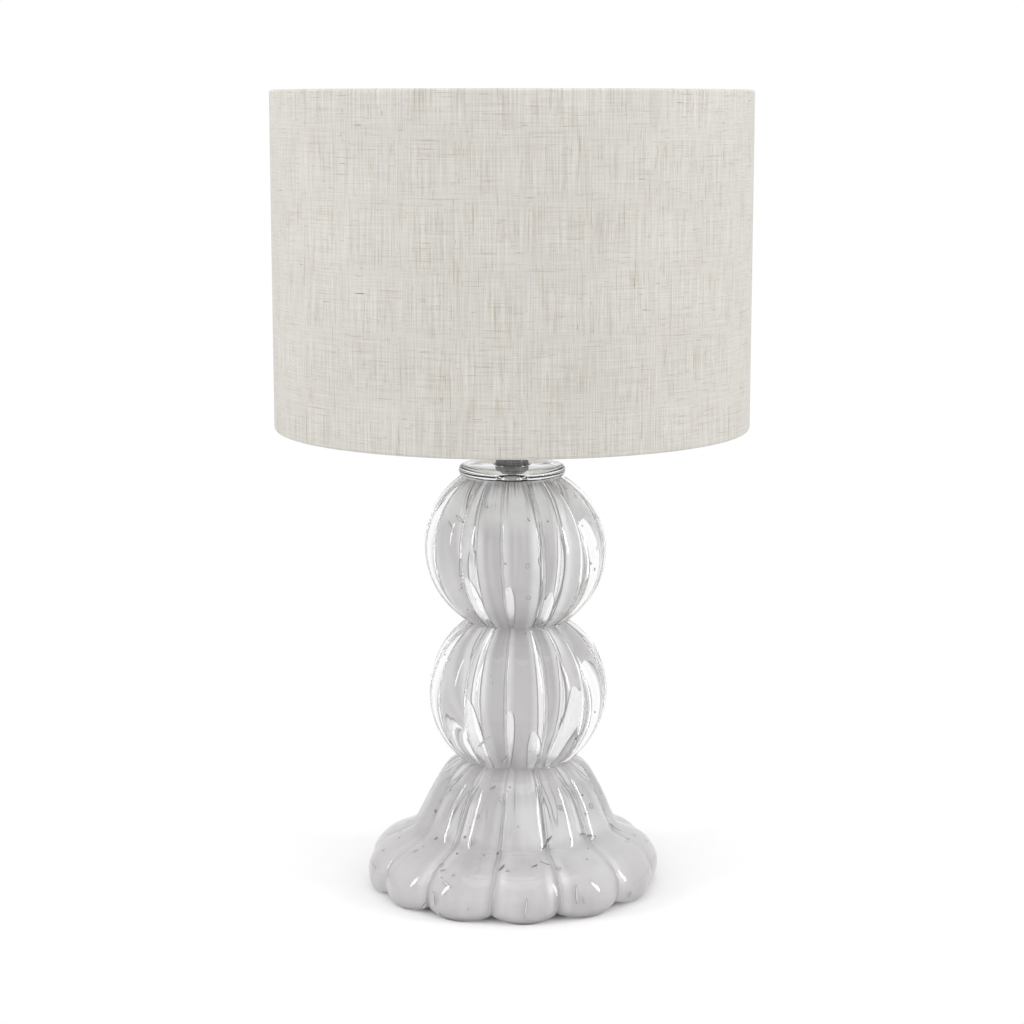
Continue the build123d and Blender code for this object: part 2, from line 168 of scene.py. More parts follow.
# ---- nodes -----------------------------------------------------------------------------------
class Flow:
    """A socket of a node tree, with arithmetic that adds the Math nodes it needs."""

    def __init__(self, tree, socket=None):
        self.tree = tree
        self.socket = socket

    def node(self, kind, settings=None, sockets=None, out=0):
        """Any other node: its type, its settings and the values or links of its sockets."""
        made = self.tree.nodes.new(kind)
        for name, value in (settings or {}).items():
            setattr(made, name, value)
        for name, value in (sockets or {}).items():
            if isinstance(value, Flow):
                self.tree.links.new(value.socket, made.inputs[name])
            else:
                made.inputs[name].default_value = value
        return Flow(self.tree, made.outputs[out])

    def math(self, operation, *values):
        return self.node("ShaderNodeMath", {"operation": operation}, dict(enumerate(values)))

    def __add__(self, other):
        return self.math("ADD", self, other)

    def __radd__(self, other):
        return self.math("ADD", other, self)

    def __sub__(self, other):
        return self.math("SUBTRACT", self, other)

    def __rsub__(self, other):
        return self.math("SUBTRACT", other, self)

    def __mul__(self, other):
        return self.math("MULTIPLY", self, other)

    def __rmul__(self, other):
        return self.math("MULTIPLY", other, self)

    def __truediv__(self, other):
        return self.math("DIVIDE", self, other)

    def __pow__(self, other):
        return self.math("POWER", self, other)

    def size(self):
        return self.math("ABSOLUTE", self)

    def groove_distance(self):
        """How far a lobe count is from the nearest whole number, 0 to 0.5."""
        return 0.5 - (self.math("FRACT", self) - 0.5).size()

    def from_groove(self):
        """Signed share of a lobe from the nearest groove, -0.5 to 0.5."""
        return self.math("FRACT", self + 0.5) - 0.5

    def line(self, centre, half):
        """1 near the centre, falling to 0 at half the line's width from it."""
        return 1.0 - (self - centre).size().between(half * 0.3, half)

    def between(self, low, high):
        """0 under low and 1 over high, straight between them."""
        sockets = {"Value": self, "From Min": low, "From Max": high}
        return self.node("ShaderNodeMapRange", {"clamp": True}, sockets)


def material(name):
    """A new node material: its shader, and a Flow to build patterns with."""
    made = bpy.data.materials.new(name)
    made.use_nodes = True
    shader = made.node_tree.nodes["Principled BSDF"]
    return made, shader, Flow(made.node_tree)


def feed(flow, shader, socket, value):
    flow.tree.links.new(value.socket, shader.inputs[socket])


def mapped(flow, place, scale):
    return flow.node("ShaderNodeMapping", sockets={"Vector": place, "Scale": scale})


def coordinates(flow, kind="Object", scale=(1, 1, 1)):
    """Object or UV coordinates, stretched by a Mapping node."""
    return mapped(flow, flow.node("ShaderNodeTexCoord", out=kind), scale)


def noise(flow, vector, scale, detail=2.0, rough=0.5):
    sockets = {"Vector": vector, "Scale": scale, "Detail": detail, "Roughness": rough}
    return flow.node("ShaderNodeTexNoise", sockets=sockets)


def mix(flow, factor, first, second):
    made = flow.tree.nodes.new("ShaderNodeMix")
    made.data_type = "RGBA"
    for index, value in ((0, factor), (6, first), (7, second)):
        if isinstance(value, Flow):
            flow.tree.links.new(value.socket, made.inputs[index])
        else:
            made.inputs[index].default_value = value
    return Flow(flow.tree, made.outputs[2])


def layered(flow, colour, layers):
    """Lays colours over each other, each through its own mask."""
    for mask, over in layers:
        colour = mix(flow, mask, colour, over)
    return colour


def bump(flow, shader, height, strength, distance):
    sockets = {"Height": height, "Strength": strength, "Distance": distance}
    feed(flow, shader, "Normal", flow.node("ShaderNodeBump", sockets=sockets))


def linear(red, green, blue):
    """A colour as it should render, from 0 to 255, turned into a linear one."""
    def channel(value):
        value = value / 255.0
        return value / 12.92 if value <= 0.04045 else ((value + 0.055) / 1.055) ** 2.4
    return (channel(red), channel(green), channel(blue), 1.0)


# ---- colours, as they should render ----------------------------------------------------------
milk_grey = linear(228, 225, 226)
milk_white = linear(252, 251, 251)
milk_bright = linear(254, 254, 254)
milk_shadow = linear(196, 193, 194)
milk_hem = linear(214, 209, 210)
milk_line = linear(120, 118, 119)
linen_light = linear(226, 223, 217)
linen_shade = linear(191, 187, 181)
linen_khaki = linear(172, 158, 130)
linen_brown = linear(120, 97, 68)


# ---- glass finishes --------------------------------------------------------------------------
def ribs(flow):
    """Lobe count round the body and height in metres, from the body's own UV, and that UV itself."""
    place = flow.node("ShaderNodeTexCoord", out="UV")
    around = flow.node("ShaderNodeSeparateXYZ", sockets={"Vector": place}, out="X")
    height = Flow(flow.tree, around.socket.node.outputs["Y"])
    return around, height, place


def span(height, low, high, soft=0.006):
    """1 between two heights, with soft ends."""
    return height.between(low - soft, low + soft) * (1.0 - height.between(high - soft, high + soft))


def clear_glass(name="clear_glass", grooved=True):
    """Clear, faintly rippled glass. On the ribbed body a fine dark line of painted shade runs beside each
    groove.
    """
    made, shader, flow = material(name)
    shader.inputs["Roughness"].default_value = 0.0
    shader.inputs["IOR"].default_value = 1.5
    shader.inputs["Transmission Weight"].default_value = 1.0
    ripples = noise(flow, coordinates(flow), 18.0, 1.0)
    bump(flow, shader, ripples, 0.1, 0.003)
    if grooved:
        around, height, place = ribs(flow)
        waver = noise(flow, mapped(flow, place, (1.0, 45.0, 1.0)), 2.0)
        edge = around.groove_distance() + (waver - 0.5) * 0.05
        weaker_below = 0.25 + 0.75 * height.between(0.02, 0.045)
        # Painted shade: a dark line beside each groove, weaker towards the hem.
        line = edge.line(0.034, 0.012) * waver.between(0.3, 0.5) * weaker_below
        colour = mix(flow, line * 0.75, (1, 1, 1, 1), (0.3, 0.3, 0.31, 1))
    else:
        colour = mix(flow, ripples, (0.97, 0.97, 0.97, 1), (1, 1, 1, 1))
    feed(flow, shader, "Base Color", colour)
    return made


def leaf(around, height, foot, tallest, width, lean):
    """A leaf-shaped clear window beside each groove, standing on a height: its inside and its edge.

    Each groove picks its leaf's height and the side that it grows on.
    """
    groove = around.math("ROUND", around)
    pick = around.math("SINE", groove * 2.4 + foot * 170.0)
    side = around.math("SIGN", around.math("SINE", groove * 4.1 + foot * 90.0))
    rise = (height - foot) / ((pick * 0.25 + 0.75) * tallest)
    belly = around.math("MAXIMUM", rise * (1.0 - rise), 0.0) ** 0.5 * (2.0 * width)
    outside = (around.from_groove() - side * (rise * lean + width * 0.6)).size() - belly
    edge = outside.line(0.0, 0.018) * span(rise, 0.04, 0.96, 0.02)
    return 1.0 - outside.between(-0.02, 0.0), edge


def leaf_windows(flow, colour, around, height):
    """Lays the clear windows of both balls over a colour, painted white for the light seen through them, and
    returns it with their mask.
    """
    clear = 0.0
    for foot, tallest, width, lean in leaves:
        inside, edge = leaf(around, height, foot, tallest, width, lean)
        # The window's inside is painted white for the light seen through clear glass.
        colour = layered(flow, colour, ((inside * 0.85, milk_bright), (edge * 0.7, milk_line)))
        clear = inside + clear
    return colour, clear


def groove_marks(edge, clouds, above_hem):
    """Masks along each groove: a pale band of painted highlight, a dark line of painted shade in the band
    and a bright line of painted highlight in its middle.
    """
    highlight_band = edge.line(0.13, 0.09) * clouds.between(0.4, 0.56)
    groove_shade_line = edge.line(0.05, 0.022) * clouds.between(0.35, 0.5) * above_hem
    groove_highlight = edge.line(0.0, 0.035) * above_hem
    return highlight_band, groove_shade_line, groove_highlight


def shoulder_marks(flow, around, height, place, clouds):
    """Masks under the collar: a white patch of painted highlight on each lobe, and dark streaks where the
    patch is thin.
    """
    streaks = noise(flow, mapped(flow, place, (22.0, 30.0, 1.0)), 1.0, 2.0)
    lobe = span(height, *shoulder) * around.groove_distance().between(0.12, 0.3)
    bare = 1.0 - lobe * clouds.between(0.42, 0.52)
    streak = height.between(*collar_streak_fade) * streaks.between(0.47, 0.6) * bare
    return lobe * clouds.between(0.3, 0.46), streak


def skirt_patches(flow, height):
    """Mask of the pale pools in the skirt."""
    pools = noise(flow, coordinates(flow, scale=(1, 1, 0.6)), 24.0, 0.0)
    in_skirt = (1.0 - height.between(*patch_top_fade)) * height.between(*patch_foot_fade)
    return in_skirt * pools.between(0.5, 0.66)


def milky_glass():
    """Mottled white layer under the clear glass, with painted highlights and shade on its lobes and grooves,
    clear windows painted white and fine drawn lines.
    """
    made, shader, flow = material("milky_glass")
    around, height, place = ribs(flow)
    drawn = coordinates(flow, scale=(1, 1, 0.45))
    clouds = noise(flow, drawn, 30.0, 4.0, 0.55)
    wisps = noise(flow, drawn, 95.0, 3.0, 0.6)
    bands = noise(flow, mapped(flow, place, (2.6, 9.0, 1.0)), 1.0, 1.0)
    above_hem = height.between(*line_fade)
    # Painted shade: lobe crests, in bands, are darkened towards milk_shadow.
    crest = around.groove_distance().between(0.2, 0.3) * bands.between(0.36, 0.5) * above_hem
    edge = around.groove_distance() + (wisps - 0.5) * 0.03
    # Beside each groove: a band and a line of painted highlight, and a dark line of painted shade.
    highlight_band, groove_shade_line, groove_highlight = groove_marks(edge, clouds, above_hem)
    # Painted highlight: a white patch on each shoulder lobe, where a reflection lies.
    shoulder_highlight, collar_streak = shoulder_marks(flow, around, height, place, clouds)
    hem = (1.0 - height.between(*hem_fade)) * clouds.between(0.36, 0.56)
    mottle = (clouds * 0.5 + wisps * 0.2 + bands * 0.3).between(0.38, 0.62)
    colour = layered(flow, mix(flow, mottle, milk_grey, milk_white), (
        (crest * 0.52, milk_shadow),
        (skirt_patches(flow, height) * 0.7, milk_bright),
        (highlight_band * 0.7, milk_bright),
        (groove_shade_line * 0.6, milk_line),
        (groove_highlight * 0.8, milk_bright),
        (hem * 0.7, milk_hem),
        (shoulder_highlight, milk_bright),
        (collar_streak * 0.85, milk_line),
    ))
    colour, clear = leaf_windows(flow, colour, around, height)
    throat_lines = span(height, *throat) * clouds.between(0.5, 0.58) * bands.line(0.5, 0.02)
    feed(flow, shader, "Base Color", mix(flow, throat_lines * 0.6, colour, milk_line))
    mirrored = (groove_highlight * 0.8 + highlight_band * 0.35 + clear * 0.6).between(0.0, 1.0)
    feed(flow, shader, "Metallic", mirrored)
    feed(flow, shader, "Roughness", 0.45 - mirrored * 0.3)
    return made


def seed_finish(name, light, dark, mirrored):
    """Air seeds: a bright middle of painted highlight or a dark edge of painted shade, both slightly uneven.
    """
    made, shader, flow = material(name)
    uneven = noise(flow, coordinates(flow), 300.0).between(0.35, 0.65)
    feed(flow, shader, "Base Color", mix(flow, uneven, dark, light))
    shader.inputs["Metallic"].default_value = mirrored
    shader.inputs["Roughness"].default_value = 0.25
    return made


# ---- other finishes --------------------------------------------------------------------------
def linen():
    """Off-white weave with khaki slubs along both threads. UV is in metres of cloth."""
    made, shader, flow = material("shade_linen")

    def threads(across, along, low, high, detail=1.0):
        return noise(flow, coordinates(flow, "UV", (across, along, 1)), 1.0, detail).between(low, high)

    warp = threads(1500.0, 26.0, 0.3, 0.7)
    weft = threads(26.0, 1500.0, 0.3, 0.7)
    uneven = threads(12.0, 12.0, 0.3, 0.7, 3.0)
    long_across = threads(34.0, 1250.0, 0.62, 0.72) * threads(40.0, 60.0, 0.42, 0.58)
    long_up = threads(1250.0, 30.0, 0.61, 0.71) * threads(60.0, 34.0, 0.42, 0.58)
    short = threads(110.0, 1100.0, 0.66, 0.72) + threads(1100.0, 90.0, 0.66, 0.72)
    smudge = threads(420.0, 42.0, 0.56, 0.72, 2.0) * threads(50.0, 40.0, 0.45, 0.6) * 0.55
    slub = (long_across * 0.8 + long_up + short * 0.6 + smudge).between(0.0, 1.0)
    dark_slub = threads(70.0, 1000.0, 0.75, 0.79) + threads(1000.0, 80.0, 0.76, 0.80)
    weave = warp * 0.55 + weft * 0.3 + uneven * 0.15
    feed(flow, shader, "Base Color", layered(flow, mix(flow, weave, linen_light, linen_shade), (
        (slub * 0.6, linen_khaki),
        (dark_slub.between(0.0, 1.0) * 0.7, linen_brown),
    )))
    shader.inputs["Roughness"].default_value = 0.9
    shader.inputs["Sheen Weight"].default_value = 0.1
    bump(flow, shader, (warp + weft) * 0.5 + slub * 0.6, 0.4, 0.0004)
    return made


def metal(name, colour, roughness):
    """Plain metal, drawn along the lamp's axis and slightly worn."""
    made, shader, flow = material(name)
    worn = noise(flow, coordinates(flow, scale=(1, 1, 6)), 220.0, 3.0).between(0.3, 0.7)
    feed(flow, shader, "Roughness", worn * 0.15 + (roughness - 0.07))
    dark = tuple(part * 0.85 for part in colour[:3]) + (1.0,)
    feed(flow, shader, "Base Color", mix(flow, worn, dark, colour))
    shader.inputs["Metallic"].default_value = 1.0
    return made


def dull(name, colour, roughness):
    """Plastic, rubber, ceramic or enamel: a colour with fine specks and a slight tooth."""
    made, shader, flow = material(name)
    specks = noise(flow, coordinates(flow), 400.0, 3.0).between(0.3, 0.7)
    dark = tuple(part * 0.94 for part in colour[:3]) + (1.0,)
    feed(flow, shader, "Base Color", mix(flow, specks, dark, colour))
    shader.inputs["Roughness"].default_value = roughness
    bump(flow, shader, specks, 0.08, 0.0003)
    return made


# ---- mesh helpers ----------------------------------------------------------------------------
def new_object(name, vertices, faces, finish, smooth=True):
    mesh = bpy.data.meshes.new(name)
    mesh.from_pydata(vertices, [], faces)
    mesh.validate()
    mesh.materials.append(finish)
    made = bpy.data.objects.new(name, mesh)
    bpy.context.scene.collection.objects.link(made)
    for face in mesh.polygons:
        face.use_smooth = smooth
    return made


def turn_faces_out(piece):
    work = bmesh.new()
    work.from_mesh(piece.data)
    bmesh.ops.recalc_face_normals(work, faces=work.faces)
    work.to_mesh(piece.data)
    work.free()


def ring_faces(rows, across, closed):
    """Quads between rows of points that close on themselves. Closed also joins the last row to the first."""
    faces = []
    for row in range(rows if closed else rows - 1):
        here, above = row * across, (row + 1) % rows * across
        for column in range(across):
            after = (column + 1) % across
            faces.append((here + column, here + after, above + after, above + column))
    return faces


def smooth_run(points, count):
    """A smooth line through a few points, in about as many steps as asked (Catmull-Rom)."""
    points = [Vector(point) for point in points]
    ends = [2 * points[0] - points[1], *points, 2 * points[-1] - points[-2]]
    whole = sum((after - before).length for before, after in zip(points, points[1:]))
    line = []
    for a, b, c, d in zip(ends, ends[1:], ends[2:], ends[3:]):
        steps = max(2, round(count * (c - b).length / whole))
        for step in range(steps):
            t = step / steps
            line.append(0.5 * (2 * b + (c - a) * t + (2 * a - 5 * b + 4 * c - d) * t * t
                               + (3 * b - a - 3 * c + d) * t ** 3))
    line.append(points[-1])
    return line


# ---- blown glass body ------------------------------------------------------------------------
def sway(height):
    return body_sway * math.sin(math.pi * max(0.0, min(1.0, height / glass_top)))


def ball_outline(bottom, top, belly, low_radius, high_radius, steps=60):
    """(height, crest radius, groove depth) up a ball, from crease to crease."""
    low, high = -math.acos(low_radius / belly), math.acos(high_radius / belly)
    half = (top - bottom) / (math.sin(high) - math.sin(low))
    centre = bottom - half * math.sin(low)
    levels = []
    for step in range(steps + 1):
        turn = low + (high - low) * step / steps
        radius = belly * math.cos(turn)
        levels.append(Vector((centre + half * math.sin(turn), radius, belly_groove * radius / belly)))
    return levels


def lobe_row(level):
    """One level of the ribbed skin: broad lobes that meet in narrow, nicked grooves."""
    height, crest, groove = level
    ends = groove_azimuths[1:] + (groove_azimuths[0] + 360.0,)
    low = max(0.0, 1.0 - height / scallop_height)
    soft = max(0.0, min(1.0, (softening_top - height) / softening_span))
    deep = 1.0 - groove_softening * soft
    nicked = notch_depth * min(1.0, groove / MM)
    row = []
    for start, end in zip(groove_azimuths, ends):
        for across in lobe_steps:
            far = abs(2 * across - 1)
            nick = math.exp(-((1.0 - far) / notch_width) ** 2)
            radius = crest - (groove * far ** lobe_fullness + nicked * nick) * deep
            azimuth = math.radians(start + (end - start) * across)
            lift = scallop_lift * low * far ** 2
            across_x = sway(height) + radius * math.sin(azimuth)
            row.append((across_x, -radius * math.cos(azimuth), height + lift))
    return row


def ribbed_solid(name, levels, finish):
    """A closed ribbed skin through its levels. Its UV counts lobes round it and metres up it."""
    vertices = [point for level in levels for point in lobe_row(level)]
    made = new_object(name, vertices, ring_faces(len(levels), columns, closed=True), finish)
    turn_faces_out(made)
    mesh = made.data
    layer = mesh.uv_layers.new(name="ribs")
    for polygon in mesh.polygons:
        corners = [mesh.loops[index].vertex_index for index in polygon.loop_indices]
        places = [corner % columns for corner in corners]
        wraps = max(places) - min(places) > 1
        for index, corner, place in zip(polygon.loop_indices, corners, places):
            lobe, step = divmod(columns if wraps and place == 0 else place, len(lobe_steps))
            layer.data[index].uv = (lobe + lobe_steps[step], mesh.vertices[corner].co.z)
    return made


def in_metres(outline):
    return [tuple(part * MM for part in level) for level in outline]


def plain_side(levels):
    """A wall without grooves, from heights and radii in millimetres."""
    return [Vector((height * MM, radius * MM, 0.0)) for height, radius in levels]


def clear_body(finish):
    """The clear glass: out over the top, down the outside, up the open bell and in to the rod's hole."""
    upper = ball_outline(ball_crease, glass_top, upper_ball_radius, ball_neck_radius, top_neck_radius)
    lower = ball_outline(skirt_crease, ball_crease, lower_ball_radius, skirt_neck_radius, ball_neck_radius)
    skirt = smooth_run(in_metres(skirt_levels), 80)
    outside = upper[::-1] + lower[::-1][1:] + skirt[1:]
    top = [Vector((glass_top, rod_passage, 0.0)), Vector((glass_top, 0.6 * top_neck_radius, 0.0))]
    inside = plain_side(bell_levels) + [Vector((bell_ledge, rod_passage, 0.0))]
    return ribbed_solid("blown_glass", top + outside + inside, finish)


def milky_core(finish):
    """The white inner gather: a column that swells in each ball, then spreads under the skirt."""
    outside = smooth_run(in_metres(core_levels), 150)
    return ribbed_solid("milky_core", outside + plain_side(core_bell_levels), finish)


# ---- collar ----------------------------------------------------------------------------------
collar_gap = 0.2 * MM           # air under the disc, so that it reads as a piece of its own
collar_seat_radius = 12.0 * MM
collar_seat_depth = 2.0 * MM
collar_seat_edge = 0.4 * MM


def turned(name, profile, finish, segments=96):
    """A closed (radius, height) profile turned about the lamp's axis."""
    vertices = []
    for radius, height in profile:
        for index in range(segments):
            turn = 2 * math.pi * index / segments
            vertices.append((radius * math.cos(turn), radius * math.sin(turn), height))
    made = new_object(name, vertices, ring_faces(len(profile), segments, closed=True), finish)
    turn_faces_out(made)
    return made


def collar_profile():
    """(radius, height) of the disc: flat below, a round nose, and a sunk seat for the neck."""
    bottom, top, radius = collar_low.z + collar_gap, collar_high.z, collar_high.x
    nose = (top - bottom) / 2
    nose_reach = 0.8 * nose
    profile = [(rod_passage, bottom)]
    for step in range(13):
        turn = math.radians(-90 + 180 * step / 12)
        out, up = nose_reach * math.cos(turn), nose * math.sin(turn)
        profile.append((radius - nose_reach + out, bottom + nose + up))
    profile.append((collar_seat_radius + 0.5 * MM, top))
    profile.append((collar_seat_radius, top - collar_seat_edge))
    profile.append((collar_seat_radius, top - collar_seat_depth))
    profile.append((rod_passage, top - collar_seat_depth))
    return profile


# ---- shade -----------------------------------------------------------------------------------
cloth_round = 2.0 * MM
cloth_fold = 2.6 * MM           # from the drum's face in to the turned-in edge
turned_in = 6.0 * MM


def drum_profile():
    """(radius, height) of the cloth, from its lower turned-in edge to its upper one."""
    bottom, top = shade_low.z, shade_high.z
    folded = shade_radius - cloth_fold
    corner = []
    for step in range(6):
        turn = math.radians(90 * step / 5)
        inward, inset = cloth_round * (1 - math.cos(turn)), cloth_round * (1 - math.sin(turn))
        corner.append((shade_radius - inward, inset))
    profile = [(folded, bottom + turned_in), (folded, bottom + cloth_round)]
    profile += [(radius, bottom + inset) for radius, inset in reversed(corner)]
    profile += [(shade_radius, bottom + (top - bottom) * step / 8) for step in range(1, 8)]
    profile += [(radius, top - inset) for radius, inset in corner]
    return profile + [(folded, top - cloth_round), (folded, top - turned_in)]


def shade_cloth_piece(finish, segments=192):
    """Cloth round the drum, turned in at both edges, and its width. UV holds metres along the cloth."""
    vertices, lengths, run = [], [], 0.0
    profile = drum_profile()
    for index, (ring, height) in enumerate(profile):
        run += math.dist(profile[max(0, index - 1)], profile[index])
        lengths.append(run)
        for step in range(segments):
            turn = 2 * math.pi * step / segments
            vertices.append((ring * math.sin(turn), ring * math.cos(turn), height))
    cloth = new_object("linen_drum", vertices, ring_faces(len(profile), segments, closed=False), finish)
    turn_faces_out(cloth)
    layer = cloth.data.uv_layers.new(name="cloth")
    for polygon in cloth.data.polygons:
        corners = [cloth.data.loops[index].vertex_index for index in polygon.loop_indices]
        places = [corner % segments for corner in corners]
        wraps = max(places) - min(places) > 1
        for index, corner, place in zip(polygon.loop_indices, corners, places):
            along = segments if wraps and place == 0 else place
            metres_along = 2 * math.pi * shade_radius * along / segments
            layer.data[index].uv = (metres_along, lengths[corner // segments])
    return cloth, run


# ---- bulb ------------------------------------------------------------------------------------
def bulb_profile():
    """(radius, height) of the opal bulb: a straight neck that swells into a round dome."""
    bottom, top, widest = bulb_low.z, bulb_high.z, bulb_high.x
    middle = top - widest
    neck = 0.42 * widest
    pole = 0.5 * MM
    swell = [                   # height and radius
        (bottom, neck, 0.0),
        (bottom + 0.1 * widest, neck, 0.0),
        (middle - 0.7 * widest, 0.84 * widest, 0.0),
        (middle, widest, 0.0),
    ]
    profile = [(0.5 * neck, bottom)]
    profile += [(level.y, level.x) for level in smooth_run(swell, 24)]
    for step in range(1, 17):
        turn = math.radians(87 * step / 16)
        profile.append((widest * math.cos(turn), middle + widest * math.sin(turn)))
    return profile + [(pole, top - 1.5 * MM), (pole, bottom)]


# ---- air seeds -------------------------------------------------------------------------------
dash_edge_radius = 0.7 * MM
dash_middle_radius = 0.62 * MM
dash_middle_forward = 0.6 * MM
ring_radius = 1.4 * MM
ring_wire_radius = 0.16 * MM
ring_dot_radius = 0.4 * MM
seed_depth = 2.6 * MM
seed_inputs = {"Density": "Float", "Depth": "Float", "Seed": "Int", "Edge": "Material", "Middle": "Material"}


def coated(flow, shape, finish):
    return flow.node("GeometryNodeSetMaterial", sockets={"Geometry": shape, "Material": finish})


def bead(flow, segments, rings, radius):
    sockets = {"Segments": segments, "Rings": rings, "Radius": radius}
    return flow.node("GeometryNodeMeshUVSphere", sockets=sockets)


def drawn_seed(flow, inputs):
    """A drawn-out bubble: a bright bead of painted highlight in front of a dark one of painted shade."""
    edge = bead(flow, 10, 8, dash_edge_radius)
    middle = bead(flow, 10, 8, dash_middle_radius)
    sockets = {"Geometry": middle, "Translation": (dash_middle_forward, 0.0, 0.0)}
    moved = flow.node("GeometryNodeTransform", sockets=sockets)
    return coated(flow, edge, inputs["Edge"]), coated(flow, moved, inputs["Middle"])


def round_seed(flow, inputs):
    """A round bubble: a fine dark ring of painted shade with a bright dot of painted highlight in it."""
    def circle(resolution, radius):
        sockets = {"Resolution": resolution, "Radius": radius}
        return flow.node("GeometryNodeCurvePrimitiveCircle", sockets=sockets)

    sockets = {"Curve": circle(20, ring_radius), "Profile Curve": circle(6, ring_wire_radius)}
    ring = flow.node("GeometryNodeCurveToMesh", sockets=sockets)
    sockets = {"Geometry": ring, "Rotation": (0.0, math.pi / 2, 0.0)}
    facing = flow.node("GeometryNodeTransform", sockets=sockets)
    dot = bead(flow, 8, 6, ring_dot_radius)
    return coated(flow, facing, inputs["Edge"]), coated(flow, dot, inputs["Middle"])


def seed_group(name):
    """An empty node tree with its named inputs."""
    tree = bpy.data.node_groups.new(name, "GeometryNodeTree")
    tree.interface.new_socket("Geometry", in_out="INPUT", socket_type="NodeSocketGeometry")
    for title, kind in seed_inputs.items():
        tree.interface.new_socket(title, in_out="INPUT", socket_type="NodeSocket" + kind)
    tree.interface.new_socket("Geometry", in_out="OUTPUT", socket_type="NodeSocketGeometry")
    given = tree.nodes.new("NodeGroupInput")
    return Flow(tree), {socket.name: Flow(tree, socket) for socket in given.outputs if socket.name}


def seed_tree(name, seed, longest):
    """Scatters air seeds under a surface, turned to face outward and mostly upright."""
    flow, inputs = seed_group(name)
    tree = flow.tree

    def chance(low, high, offset):
        sockets = {2: low, 3: high, "Seed": inputs["Seed"] + offset}
        return flow.node("FunctionNodeRandomValue", {"data_type": "FLOAT"}, sockets, out=1)

    sockets = {"Mesh": inputs["Geometry"], "Density": inputs["Density"], "Seed": inputs["Seed"]}
    points = flow.node("GeometryNodeDistributePointsOnFaces", {"distribute_method": "RANDOM"}, sockets)
    normal = Flow(tree, points.socket.node.outputs["Normal"])
    sockets = {0: normal, "Scale": inputs["Depth"] * -1.0}
    sink = flow.node("ShaderNodeVectorMath", {"operation": "SCALE"}, sockets)
    placed = flow.node("GeometryNodeSetPosition", sockets={"Geometry": points, "Offset": sink})
    join = tree.nodes.new("GeometryNodeJoinGeometry")
    for part in seed(flow, inputs):
        tree.links.new(part.socket, join.inputs["Geometry"])
    upright = chance(0.0, 1.0, 7.0) ** 3.0 * longest + 0.9
    size = flow.node("ShaderNodeCombineXYZ", sockets={"X": 1.0, "Y": chance(0.6, 1.3, 13.0), "Z": upright})
    facing = flow.node("FunctionNodeAlignRotationToVector", {"axis": "X"}, {"Vector": normal})
    shape = Flow(tree, join.outputs["Geometry"])
    sockets = {"Points": placed, "Instance": shape, "Rotation": facing, "Scale": size}
    made = flow.node("GeometryNodeInstanceOnPoints", sockets=sockets)
    lean = flow.node("ShaderNodeCombineXYZ", sockets={"X": chance(-0.35, 0.35, 21.0)})
    leant = flow.node("GeometryNodeRotateInstances", sockets={"Instances": made, "Rotation": lean})
    real = flow.node("GeometryNodeRealizeInstances", sockets={"Geometry": leant})
    smooth = flow.node("GeometryNodeSetShadeSmooth", sockets={"Geometry": real})
    out = tree.nodes.new("NodeGroupOutput")
    tree.links.new(smooth.socket, out.inputs[0])
    return tree


def grown(name, source, tree, values):
    """Applies a node tree to a copy of the source mesh and returns the plain result."""
    carrier = bpy.data.objects.new(name + "_carrier", source.data.copy())
    bpy.context.scene.collection.objects.link(carrier)
    modifier = carrier.modifiers.new("grow", "NODES")
    modifier.node_group = tree
    for item in tree.interface.items_tree:
        if item.in_out == "INPUT" and item.name in values:
            modifier[item.identifier] = values[item.name]
    depsgraph = bpy.context.evaluated_depsgraph_get()
    mesh = bpy.data.meshes.new_from_object(carrier.evaluated_get(depsgraph))
    bpy.data.objects.remove(carrier)
    made = bpy.data.objects.new(name, mesh)
    mesh.name = name
    bpy.context.scene.collection.objects.link(made)
    return made


# ---- put together ----------------------------------------------------------------------------
body = clear_body(clear_glass())
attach(body, "base")
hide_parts("glass_body")

core = milky_core(milky_glass())
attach(core, "base")

collar = turned("collar_disc", collar_profile(), clear_glass("collar_glass", grooved=False))
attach(collar, "base")
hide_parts("glass_collar")

# Seeds are clear air: their dark edge is painted shade and their white middle a painted highlight.
seed_edge = seed_finish("seed_edge", (0.48, 0.48, 0.48, 1), (0.3, 0.3, 0.3, 1), 0.0)
seed_middle = seed_finish("seed_middle", (0.98, 0.98, 0.98, 1), (0.9, 0.9, 0.9, 1), 0.3)
seed_kinds = (                  # piece, one seed, longest stretch, seeds to a square metre, random seed
    ("drawn_seeds", drawn_seed, 9.0, 1100.0, 4),
    ("round_seeds", round_seed, 0.3, 330.0, 9),
)
for name, seed, longest, density, number in seed_kinds:
    values = {"Density": density, "Depth": seed_depth, "Seed": number}
    values |= {"Edge": seed_edge, "Middle": seed_middle}
    seeds = grown(name, body, seed_tree(name, seed, longest), values)
    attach(seeds, "base")

drum, drum_width = shade_cloth_piece(linen())
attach(drum, "shade")
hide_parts("shade_cloth")

opal = dull("bulb_opal", (0.86, 0.86, 0.84, 1.0), 0.3)
bulb = turned("opal_bulb", bulb_profile(), opal, segments=72)
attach(bulb, "bulb")
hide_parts("bulb_globe")

